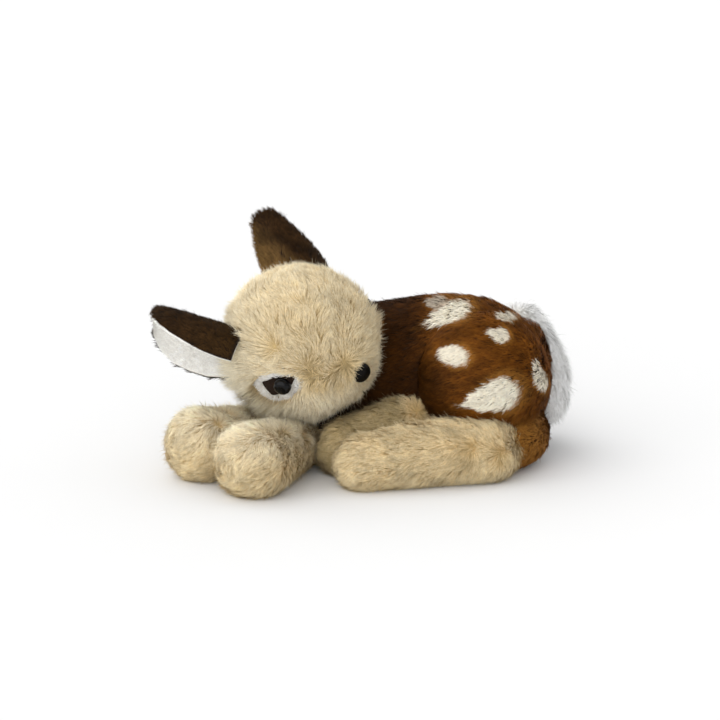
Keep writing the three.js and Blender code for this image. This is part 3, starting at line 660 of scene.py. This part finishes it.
# Torso: one long bowed form of short brown plush with white fawn spots, which are dyed in its pile.
# Its form and those of the haunches and legs are worked out first, as each hides roots of the others.
solid_offset = np.array([-49.44, 23.5, 0]) * mm
torso_size = np.array([166, 94, 111]) * mm
torso_bow = 24 * mm
torso_shares = np.array(
    [
        [0, 0.33, 0.27, 0.43, 0.06],
        [0.12, 0.6, 0.33, 0.56, 0.04],
        [0.22, 0.82, 0.375, 0.76, 0.01],
        [0.31, 0.96, 0.405, 0.9, 0],
        [0.46, 1, 0.425, 0.95, 0],
        [0.655, 0.72, 0.465, 1, 0],
        [0.84, 0.3, 0.5, 0.985, 0.04],
        [1, 0.08, 0.4, 0.875, 0.17],
    ]
)


def stuffed_form(stations, caps, hangs=False, steps=72):
    """A form as ellipses along a smooth path: each station's place, half breadth and half height, with
    Catmull-Rom curves between them. Gives the rings' middles, axes and halves, and the rounded ends."""
    before, after = 2 * stations[:1] - stations[1:2], 2 * stations[-1:] - stations[-2:-1]
    longer = np.concatenate([before, stations, after])
    at = np.linspace(0, len(stations) - 1, steps)
    index = np.minimum(at.astype(int), len(stations) - 2)
    t = (at - index)[:, None]
    a, b, c, d = (longer[index + k] for k in range(4))
    rows = b + 0.5 * t * (c - a + t * (2 * a - 5 * b + 4 * c - d + t * (3 * (b - c) + d - a)))
    heading = np.gradient(rows[:, :3], axis=0)
    if not hangs:
        heading[:, 2] = 0
    heading = unit(heading)
    aside = unit(np.cross(heading, [0, 0, 1]))
    above = np.cross(aside, heading)
    return dict(middle=rows[:, :3], heading=heading, aside=aside, above=above, halves=rows[:, 3:], caps=caps)


def form_grid(form, around=96, cap_rows=12):
    """The surface of a stuffed form as a grid: its rings, with quarter ellipses that close its ends."""
    turn = np.linspace(0, 2 * math.pi, around + 1)
    bend = np.linspace(0.02, math.pi / 2, cap_rows)[:-1]
    rings = len(form["middle"])
    start, end = form["caps"]
    order = np.concatenate([np.zeros(len(bend), int), np.arange(rings), np.full(len(bend), -1)])
    shift = np.concatenate([-start * np.cos(bend), np.zeros(rings), end * np.cos(bend[::-1])])
    scale = np.concatenate([np.sin(bend), np.ones(rings), np.sin(bend[::-1])])
    middle = form["middle"][order] + form["heading"][order] * shift[:, None]
    halves = form["halves"][order] * scale[:, None]
    return (
        middle[:, None]
        + form["aside"][order][:, None] * (halves[:, :1] * np.cos(turn))[..., None]
        + form["above"][order][:, None] * (halves[:, 1:] * np.sin(turn))[..., None]
    )


def inside_form(places, form, grow=0.0):
    """Which places lie inside a stuffed form, moved out by grow."""
    picked = np.zeros(len(places), bool)
    for part in np.array_split(np.arange(len(places)), max(1, len(places) // 8000)):
        offset = places[part, None] - form["middle"][None]
        ahead = (offset * form["heading"]).sum(2)
        near = np.argmin(lengths(offset), axis=1)
        row = np.arange(len(part))
        off, ahead = offset[row, near], ahead[row, near]
        cap = np.where(ahead < 0, form["caps"][0], form["caps"][1]) + grow
        end = (near == 0) | (near == len(form["middle"]) - 1)
        across = (off * form["aside"][near]).sum(1) / (form["halves"][near, 0] + grow)
        rise = (off * form["above"][near]).sum(1) / (form["halves"][near, 1] + grow)
        picked[part] = across**2 + rise**2 + np.where(end, ahead / cap, 0) ** 2 < 1
    return picked


def torso_place(shares):
    """A place by the torso, in shares of its length, breadth and height."""
    return np.array(shares) * torso_size + solid_offset


torso_stations = np.stack(
    [
        torso_shares[:, 0] * torso_size[0] + solid_offset[0],
        torso_shares[:, 1] * torso_bow + solid_offset[1],
        (torso_shares[:, 3] + torso_shares[:, 4]) / 2 * torso_size[2] - 0.5 * mm,
        torso_shares[:, 2] * torso_size[1],
        (torso_shares[:, 3] - torso_shares[:, 4]) / 2 * torso_size[2],
    ],
    axis=1,
)
torso_form = stuffed_form(torso_stations, (15 * mm, 18 * mm))
haunches = {
    "left_haunch": (torso_place([0.83, -0.287, 0.58]), np.array([44, 33, 45]) * mm),
    "right_haunch": (torso_place([0.93, -0.19, 0.2]), np.array([28.5, 36, 23]) * mm),
}


def inside_ball(places, middle, halves, grow):
    """Which places lie inside an ellipsoid, moved out by grow."""
    return (((places - middle) / (halves + grow)) ** 2).sum(1) < 1


# Where each leg starts by the torso, the way it lies in degrees, its length, its greatest radius,
# its shares along and of that radius, and how far its seam stands off the floor.
foreleg_shares = ((0, 0.67), (0.35, 0.76), (0.72, 0.89), (1, 1))
near_hind_shares = ((0, 1), (0.3, 1), (0.62, 0.96), (0.86, 0.89), (1, 0.85))
far_hind_shares = ((0, 0.9), (0.38, 1), (0.75, 0.95), (1, 0.86))
leg_sizes = {
    "left_foreleg": ((0.055, -0.19, 0), -113.5, 78, 24, foreleg_shares, 0),
    "right_foreleg": ((-0.065, 0.1, 0), -127, 78, 24, foreleg_shares, 0),
    "left_hind_leg": ((0.838, -0.56, 0), -166, 87, 20.5, near_hind_shares, 0),
    "right_hind_leg": ((0.62, -0.125, 0), -154, 67, 21, far_hind_shares, 10),
}
leg_forms = {}
for name, (root, heading, length, radius, shares, rise) in leg_sizes.items():
    along, thick = np.array(shares).T
    ahead = np.array([math.cos(math.radians(heading)), math.sin(math.radians(heading)), 0])
    places = torso_place(root) + ahead * (along * length * mm)[:, None]
    half = thick * radius * mm
    places[:, 2] = half - 0.5 * mm + rise * mm * (1 - along) ** 2
    leg_forms[name] = stuffed_form(np.column_stack([places, half, half]), (half[0], 0.85 * radius * mm))


def free_roots(roots, out, own_name, margin=1.5 * mm):
    """The roots that no other form of the toy covers."""
    covered = inside_head(roots, -margin)
    for name, (middle, halves) in haunches.items():
        if name != own_name:
            covered |= inside_ball(roots, middle, halves, -margin)
    for name, form in {"torso": torso_form, **leg_forms}.items():
        if name != own_name:
            covered |= inside_form(roots, form, -margin)
    return roots[~covered], out[~covered]


# Spots: each one's place along the body and up it as the camera sees it, its half length and half
# height, in mm, the way it points up to the right in degrees, how much narrower its left end is, and
# how white it is. Those of the far side, which the photograph hides, are a guess.
near_spots = (
    ((59, 112.5), (8.4, 5), -5, 0.2, 0.5),
    ((65, 104.5), (17.5, 6.4), 22, 0.45, 1.0),
    ((106, 101.6), (7.7, 3.2), -6, 0.2, 0.85),
    ((99.5, 90.4), (7.4, 4.8), -18, 0.3, 0.95),
    ((68.8, 77.2), (10.8, 6.8), -10, 0.15, 0.92),
    ((126.4, 62.9), (8.6, 4.2), -72, 0.0, 0.9),
    ((93.6, 48.9), (20.5, 9.2), 16, 0.6, 1.0),
    ((14.3, 96.5), (4.2, 8.4), 0, 0.0, 0.5),
)
far_spots = (
    ((88, 84), (13, 7), -12, 0.3, 0.95),
    ((56, 88), (12, 6.5), 10, 0.3, 0.95),
    ((68, 64), (17, 8), -8, 0.3, 0.95),
    ((98, 58), (9, 6), 20, 0.0, 0.9),
    ((26, 80), (11, 7), -6, 0.2, 0.9),
    ((34, 56), (12, 6), 8, 0.2, 0.85),
    ((-2, 66), (9, 5.5), 0, 0.2, 0.8),
    ((82, 38), (12, 6), 12, 0.4, 0.9),
)
far_side = 94 * mm  # twice how far behind the origin the torso's middle line is
brown_palette = linear(62, 32, 10), linear(108, 62, 17), linear(134, 82, 26)
spot_palette = linear(226, 214, 184), linear(246, 238, 218), linear(250, 246, 232)
tan = linear(172, 118, 52)


def spot_whiteness(roots, out):
    """How white each root is, and how golden the rim is there."""
    white, rim = np.zeros(len(roots)), np.zeros(len(roots))
    near, behind = out @ sight < 0.15, out[:, 1] > 0.35
    mirrored = roots * [1, -1, 1] + [0, far_side, 0]
    streak = ripple(roots * [0.3, 0.3, 1], 3.5 * mm)
    sides = ((near_spots, near, roots @ sight_up), (far_spots, behind, mirrored @ sight_up))
    for table, facing, level in sides:
        for (x, h), halves, turn, narrowing, strength in table:
            dx, dh = roots[:, 0] - x * mm, level - h * mm
            c, s = math.cos(math.radians(turn)), math.sin(math.radians(turn))
            a = (dx * c + dh * s) / (halves[0] * mm)
            b = (-dx * s + dh * c) / (halves[1] * mm)
            b = b / np.clip(1 + narrowing * np.clip(a, -1, 0.6), 0.2, 2)
            far = np.hypot(a, b) + rng.normal(0, 0.05, len(roots)) + 0.12 * streak * np.clip(0.4 - a, 0, 1)
            far = np.where(facing, far, far_off)
            white = np.maximum(white, strength * ramp(far, 1.06, -0.14))
            gold = np.clip(1 - np.abs(far - 1.14) / 0.4, 0, 1) * np.clip(0.7 + 0.6 * a, 0.2, 1)
            rim = np.maximum(rim, gold)
    return white, rim


brown_pile = pile_material("brown_pile", roughness=0.55, sheen=0.0, gloss=0.05)
# The brown backing is painted darker than its own brown, as painted shade where it shows between strands.
brown_cloth_painted_shade = cloth_material("brown_cloth_painted_shade", linear(54, 34, 16))
fill_cloth = cloth_material("stuffing_fibre", linear(240, 238, 232))
body_way = np.array([-1, 0, -0.28])
brown_habits = dict(length=6 * mm, lean=1.38, gather=0.15, unruly=0.16, loose=0.02)


def brown_shades(roots, out):
    """Root, middle and tip colours of the brown pile: patches of light and dark, painted shade on the
    shoulder, under the haunch, low down and in the crease, golden rims and white spots. Gives the
    strands' width too, more in a spot."""
    tone = 1 + 0.18 * ripple(roots, 38 * mm) + 0.2 * ripple(roots * [0.35, 0.35, 1], 4.5 * mm)
    edge = roots[:, 0] + 9 * mm * ripple(roots, 30 * mm) * (out[:, 1] > 0.3)
    # Painted shade: on the shoulder between head and haunch, under the haunch, low down and in the crease.
    shoulder = ramp(edge, 52 * mm, -14 * mm) * np.where(out[:, 1] > 0.3, 0.6, 1)
    fold = ramp(roots[:, 0], 82 * mm, -26 * mm) * ramp(roots[:, 2], 92 * mm, -22 * mm)
    low_shade = ramp(roots[:, 2], 50 * mm, -12 * mm)
    crease = bell(roots[:, 0] - 46 * mm, 6 * mm)
    tone = tone * (1 - 0.72 * np.maximum(shoulder, fold)) * (1 - 0.35 * low_shade) * (1 - 0.35 * crease)
    rump = ramp(roots[:, 0], 104 * mm, 10 * mm) * ramp(roots[:, 2], 46 * mm, -14 * mm)
    rump = rump * ramp(roots[:, 1], 18 * mm, -26 * mm)
    white, rim = spot_whiteness(roots, out)
    made = []
    for brown, pale_and_painted_light in zip(brown_palette, spot_palette):
        base = brown * tone[:, None]
        base = base + (tan - base) * np.maximum(0.7 * rim, 0.8 * rump)[:, None]
        made.append(base + (pale_and_painted_light - base) * white[:, None])
    return tuple(made), (0.36 + 0.18 * white) * mm


torso_roots, torso_out = roots_on(form_grid(torso_form), density=1.7)
# The neck's ball wears the torso's pile where it stands out of it.
neck_middle, neck_radius = torso_place([0.026, 0.155, 0.55]), 24 * mm
neck_roots, neck_out = roots_on(neck_middle + ball_ways * neck_radius, density=2.4)
outer = ~inside_form(neck_roots, torso_form)
torso_roots, torso_out = free_roots(
    np.concatenate([torso_roots, neck_roots[outer]]), np.concatenate([torso_out, neck_out[outer]]), "torso"
)
lay = flow(torso_roots, torso_out, body_way, stir=0.22, scale=40 * mm)
shades, width = brown_shades(torso_roots, torso_out)
torso_fur = fur("torso_fur", brown_pile, torso_roots, torso_out, lay, shades, width=width, **brown_habits)
torso_cloth = softened_cloth("torso_cloth", "torso_skin", brown_cloth_painted_shade)
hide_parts("torso_skin")
for piece in (torso_fur, torso_cloth):
    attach(piece, "torso")

# Haunches: two stuffed ellipsoids of the same brown plush, the left one on top and the right one
# under it on the floor. Both are sewn to the torso and ride with it.
for name, (middle, halves) in haunches.items():
    roots, out = free_roots(*roots_on(middle + ball_ways * halves, density=2.8), name)
    lay = flow(roots, out, body_way, stir=0.22, scale=40 * mm)
    shades, width = brown_shades(roots, out)
    haunch_fur = fur(name + "_fur", brown_pile, roots, out, lay, shades, width=width, **brown_habits)
    haunch_cloth = softened_cloth(name + "_cloth", name + "_skin", brown_cloth_painted_shade)
    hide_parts(name + "_skin")
    for piece in (haunch_fur, haunch_cloth):
        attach(piece, "torso")

# Belly: a panel of the beige plush that closes the torso underneath.
beige_cloth = cloth_material("beige_cloth", linear(200, 172, 120))
belly_cloth = softened_cloth("belly_cloth", "belly_panel", beige_cloth, 1.2 * mm)
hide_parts("belly_panel")
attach(belly_cloth, "torso")

# Legs: soft tubes of long beige plush, the forelegs fuller at their paws, each sewn on at a round seam.
# The pile bursts out from whorls, most of all on the hind legs, and runs down to the foot.
beige_palette = linear(212, 180, 122), linear(230, 206, 157), linear(240, 226, 190)
shaded_palette = linear(140, 116, 70), linear(190, 166, 116), linear(216, 198, 156)
beige_pile = pile_material("beige_pile")
leg_whorls = {
    "left_foreleg": [((-48, -44, 46), 12, 0.8)],
    "right_foreleg": [((-90, -14, 46), 12, 0.8)],
    "left_hind_leg": [((76, -50, 26), 22, 1.5), ((96, -44, 22), 12, 0.8)],
    "right_hind_leg": [((41, -8, 41), 16, 2.2)],
}
for name, form in leg_forms.items():
    roots, out = free_roots(*roots_on(form_grid(form), density=3.0), name)
    heading = form["heading"][len(form["heading"]) // 2]
    foreleg = name.endswith("foreleg")
    top = np.clip(out[:, 2:], 0, 1) if foreleg else 0
    if foreleg:
        base = heading * 0.5 * (1 - 1.3 * top) + np.array([-0.5, 0, -0.4])
    else:
        base = heading + np.array([0, 0, -0.25])
    whorls = [(np.array(place) * mm, reach * mm, strength) for place, reach, strength in leg_whorls[name]]
    lay = flow(roots, out, base, stir=0.32, scale=24 * mm, whorls=whorls)
    tone = (1.0 if foreleg else 0.97) + 0.08 * ripple(roots, 18 * mm) + 0.08 * ripple(roots, 5 * mm)
    tone = tone[:, None]
    dark = np.zeros((len(roots), 1))
    for place, reach, strength in whorls:
        apart = lengths(roots - place)[:, None]
        dark = np.maximum(dark, bell(apart, 0.45 * reach))
    deep, mid, tip = beige_palette
    # Painted shade on the far hind leg behind the near one, giving way to beige towards its root.
    if name == "right_hind_leg":
        lit = ramp(roots[:, :1], 32 * mm, 6 * mm)
        deep, mid, tip = (shaded_colour + (beige - shaded_colour) * lit for shaded_colour, beige in zip(shaded_palette, beige_palette))
    # On the forelegs the pile is painted lighter where it faces up: painted light on the tops of the paws.
    shades = (
        (deep + (mid - deep) * 0.8 * top) * tone * np.ones_like(roots),
        (mid + (cream_tip - mid) * 0.9 * top + (deep - mid) * 0.5 * dark) * tone,
        (tip + (linear(255, 246, 224) - tip) * 0.7 * top + (mid - tip) * 0.6 * dark) * tone,
    )
    lean = 1.34 if foreleg else 1.24
    leg_fur = fur(
        name + "_fur", beige_pile, roots, out, lay, shades,
        length=9.5 * mm, lean=lean, width=strand_width, gather=0.2, unruly=0.16, per_tuft=40,
    )
    leg_cloth = softened_cloth(name + "_cloth", name + "_skin", beige_cloth)
    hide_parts(name + "_skin")
    for piece in (leg_fur, leg_cloth):
        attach(piece, name)

# Tail: a flat tuft of long white plush on a rolled seam, which hangs down behind the rump.
tail_heading = math.radians(37)
tail_out = np.array([math.cos(tail_heading), math.sin(tail_heading), 0])
tail_pivot = torso_place([0.985, 0.245, 0.775])
tail_size = np.array([50, 36, 23]) * mm
tail_shares = np.array(
    [[0.04, 0, 0.8, 0.8], [0.22, 0.35, 1, 0.95], [0.36, 0.72, 1, 1], [0.38, 1, 0.92, 0.95]]
)
tail_puff = 4 * mm
tail_reach = tail_shares[:, :1] * tail_size[0]
tail_drop = np.array([0, 0, 1]) * tail_shares[:, 1:2] * tail_size[0]
tail_places = tail_pivot + tail_out * tail_reach - tail_drop
tail_halves = tail_shares[:, 2:] * tail_size[1:] / 2
tail_caps = (tail_size[2] / 2, tail_size[2] * 0.7)
tail_form = stuffed_form(np.column_stack([tail_places, tail_halves]), tail_caps, hangs=True)
roots, out = roots_on(form_grid(tail_form), density=3.6)
roots = roots + out * tail_puff
roots, out = free_roots(roots, out, "tail", -1 * mm)
lay = flow(roots, out, np.array([0.15, 0.1, -1]), stir=0.3, scale=20 * mm)
shades = plain_shades(roots, linear(238, 236, 230), linear(250, 250, 248), linear(255, 255, 254))
tail_fur = fur(
    "tail_fur", white_pile, roots, out, lay, shades,
    length=11 * mm, lean=1.2, width=0.4 * mm, gather=0.15, unruly=0.15,
)
tail_cloth = softened_cloth("tail_cloth", "tail_skin", white_cloth, 1.2 * mm, puff=tail_puff)
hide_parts("tail_skin")
for piece in (tail_fur, tail_cloth):
    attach(piece, "tail")

# Ears: a cupped leaf of dark plush with a lining of short white plush, on a rolled base that is sewn
# to the head. Each has a breadth, a roll at its foot, how far its two faces are trimmed at the edge,
# how deep its foot goes in, a turn about itself in degrees, an outline, a cup and a paler brown.
ear_length = 58 * mm
ear_breadth = {"left": 50 * mm, "right": 72 * mm}
ear_roll = {"left": 0, "right": 0.38}
back_set = {"left": 0, "right": 0.8 * mm}
lining_set = {"left": 1 * mm, "right": 0}
ear_foot = {"left": 4 * mm, "right": 10 * mm}
ear_lean = np.array([-0.8, 0.36, 0.49])
ear_turn = {"left": -95, "right": -15}
ear_along = {
    "left": [0, 0.12, 0.3, 0.48, 0.66, 0.82, 0.94, 1],
    "right": [0, 0.12, 0.3, 0.5, 0.7, 0.86, 0.95, 1],
}
ear_wide = {
    "left": [1.1, 1.08, 1, 0.86, 0.68, 0.49, 0.34, 0.2],
    "right": [0.8, 0.9, 1, 1, 0.94, 0.74, 0.5, 0.12],
}
ear_cup = {
    "left": math.radians(70) * np.array([1.25, 1.2, 1.09, 0.99, 0.87, 0.76, 0.64, 0.53]),
    "right": math.radians(70) * np.array([1.25, 1.22, 1.18, 1.15, 1.12, 1.08, 1.05, 1]),
}
ear_palette = linear(18, 10, 4), linear(48, 31, 14), linear(70, 48, 23)
ear_pale = linear(150, 116, 68)
ear_tan = {"left": 0.6, "right": 0.1}
ear_golden = {"left": -1.2, "right": 0.0}


def about(vector, axis, angle):
    """A vector turned about an axis by an angle."""
    return (
        vector * math.cos(angle)
        + np.cross(axis, vector) * math.sin(angle)
        + axis * (axis @ vector) * (1 - math.cos(angle))
    )


def ear_grid(side, outset, trim, rows=40, columns=40):
    """The leaf of an ear: arcs of a circle across it, whose breadth and bend change along it, rolled
    further over at one side of its foot. Gives its grid, its place at the head, and its ways across,
    along and out of its lining."""
    mirror = {"left": 1, "right": -1}[side]
    line = ear_line * [1, mirror, 1]
    lean = unit(ear_lean * [1, mirror, 1])
    spot, axes = head_frame(line)
    spot = spot + axes[:, 2] * 1 * mm
    facing = np.array([0.5, mirror, 0])
    facing = unit(facing - lean * (facing @ lean))
    facing = about(facing, lean, -mirror * math.radians(ear_turn[side]))
    across = np.cross(lean, facing)
    along = np.linspace(0, 1, rows)
    wide = np.interp(along, ear_along[side], ear_wide[side]) * ear_breadth[side] / 2
    half = np.maximum(wide - trim, trim / 4 + 1e-5)
    edge = np.interp(along, ear_along[side], ear_cup[side])
    bend = (half / edge)[:, None]
    angle = edge[:, None] * np.linspace(-1, 1, columns)
    rolled = 1 + ear_roll[side] * (1 - along / 1.3)[:, None]
    angle = np.where(angle > 0, angle * rolled, angle)
    reach = along * (ear_length - trim + ear_foot[side]) - ear_foot[side]
    own = (
        across * ((bend - outset) * np.sin(angle))[..., None]
        + lean * (reach[:, None] * np.ones_like(angle))[..., None]
        + facing * (bend - (bend - outset) * np.cos(angle))[..., None]
    )
    axes = head_axes @ np.stack([across, lean, facing], axis=1)
    return to_world(own + spot), to_world(spot[None])[0], axes


def leaf_cloth(name, back, front, material):
    """A closed sheet of cloth between two grids of the same count: two faces and a wall round the edge."""
    rows, columns = back.shape[:2]
    index = np.arange(rows * columns).reshape(rows, columns)
    quads = np.stack([index[:-1, :-1], index[1:, :-1], index[1:, 1:], index[:-1, 1:]], axis=-1).reshape(-1, 4)
    border = np.concatenate([index[0, :-1], index[:-1, -1], index[-1, :0:-1], index[:0:-1, 0]])
    after = np.roll(border, -1)
    far = rows * columns
    wall = np.stack([border, after, after + far, border + far], axis=1)
    points = np.concatenate([back.reshape(-1, 3), front.reshape(-1, 3)])
    mesh = bpy.data.meshes.new(name)
    mesh.from_pydata(points.tolist(), [], np.concatenate([quads, quads[:, ::-1] + far, wall]).tolist())
    shell = bmesh.new()
    shell.from_mesh(mesh)
    bmesh.ops.recalc_face_normals(shell, faces=shell.faces)
    shell.to_mesh(mesh)
    shell.free()
    mesh.shade_smooth()
    return new_object(name, mesh, material)


for side in ("left", "right"):
    grid, spot, axes = ear_grid(side, -2.6 * mm, back_set[side])
    across, lean, facing = axes.T
    roots, out = roots_on(grid, density=3.2)
    if (out @ facing).mean() > 0:
        out = -out
    lining_grid = ear_grid(side, 2.6 * mm, lining_set[side])[0]
    lining_roots, lining_out = roots_on(lining_grid, density=3.0)
    if (lining_out @ facing).mean() < 0:
        lining_out = -lining_out
    kept = ~inside_head(roots, -1 * mm)
    roots, out = roots[kept], out[kept]
    level = ((roots - spot) @ lean / ear_length)[:, None]
    sideways = ((roots - spot) @ across)[:, None] / (ear_breadth[side] / 2)
    lay = flow(roots, out, lean, stir=0.3, scale=14 * mm)
    tone = (1 + 0.2 * ripple(roots, 16 * mm) + 0.12 * ripple(roots, 5 * mm))[:, None]
    golden = np.clip(0.5 - level * 0.8 - sideways * ear_golden[side], 0, 1) * ear_tan[side]
    shades = tuple((brown + (ear_pale - brown) * golden) * tone for brown in ear_palette)
    back_fur = fur(
        side + "_ear_fur", dark_pile, roots, out, lay, shades,
        length=4.8 * mm, lean=1.32, width=thin_strand, gather=0.22, unruly=0.22,
    )
    kept = ~inside_head(lining_roots, 2 * mm)
    roots, out = lining_roots[kept], lining_out[kept]
    lay = flow(roots, out, lean, stir=0.2, scale=20 * mm)
    shades = plain_shades(roots, *white_shades)
    lining_fur = fur(
        side + "_ear_lining_fur", white_pile, roots, out, lay, shades,
        length=2.2 * mm, lean=1.3, width=thin_strand, gather=0.1, unruly=0.1,
    )
    back_inner = ear_grid(side, -0.2 * mm, back_set[side])[0]
    back_cloth = leaf_cloth(side + "_ear_cloth", grid, back_inner, dark_felt)
    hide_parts(side + "_ear_back")
    lining_back = ear_grid(side, 0.3 * mm, lining_set[side])[0]
    lining_cloth = leaf_cloth(side + "_ear_lining_cloth", lining_back, lining_grid, white_cloth)
    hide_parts(side + "_ear_lining")
    for piece in (back_fur, lining_fur, back_cloth, lining_cloth):
        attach(piece, side + "_ear")

# Stuffing: loose polyester fibre inside every form, and the bag of pellets. None of it shows.
bag_cloth = cloth_material("bag_cloth", linear(216, 211, 196))
for node in sorted(frame["nodes"]):
    if node.endswith("_stuffing") or node == "pellet_bag":
        cloth = bag_cloth if node == "pellet_bag" else fill_cloth
        fill = softened_cloth(node + "_fill", node, cloth, 2.4 * mm)
        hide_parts(node)
        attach(fill, next(body for body, nodes in frame["record"]["behaviour"]["bodies"].items() if node in nodes))
